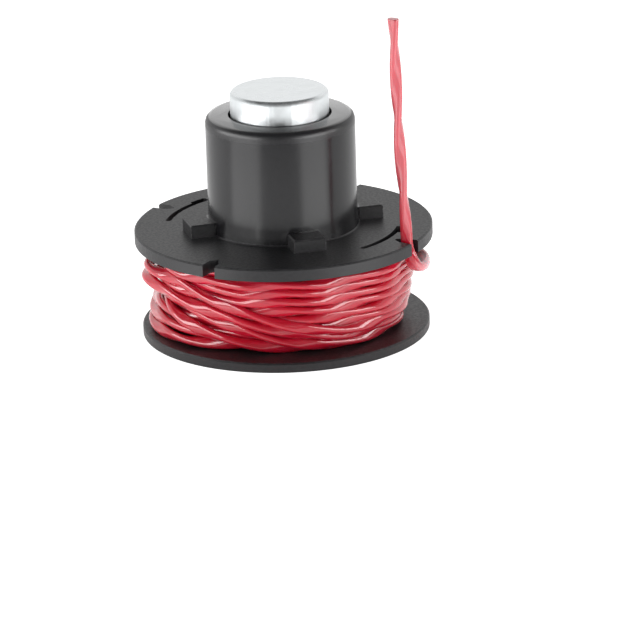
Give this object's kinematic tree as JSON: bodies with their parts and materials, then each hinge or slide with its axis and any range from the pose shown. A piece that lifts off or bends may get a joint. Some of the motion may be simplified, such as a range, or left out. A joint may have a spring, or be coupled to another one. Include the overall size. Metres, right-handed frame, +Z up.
{
  "type": "trimmer line spool",
  "caption": "Flanged spool for a grass trimmer head, with a notched rim, drive lugs, a steel bump cap and a winding of twisted nylon line whose free end stands up through a notch.",
  "frame": {"origin": "centre of the lower flange's underside, on the spool's axis", "axes": "+Z up the spool's axis towards the bump cap; the drive lugs lie on +X, +Y, -X and -Y; the line leaves through the rim notch half way between +X and -Y"},
  "size_m": [0.06, 0.06, 0.0674],
  "materials": {
    "spool_plastic": "moulded black nylon, satin hub and finely grained flanges",
    "cap_steel": "zinc plated pressed steel",
    "trimmer_line": "translucent red nylon, twisted"
  },
  "bodies": {
    "root": {"spool_body": "spool_plastic", "bump_cap": "cap_steel", "line_winding": "trimmer_line", "line_tail": "trimmer_line"}
  },
  "joints": []
}
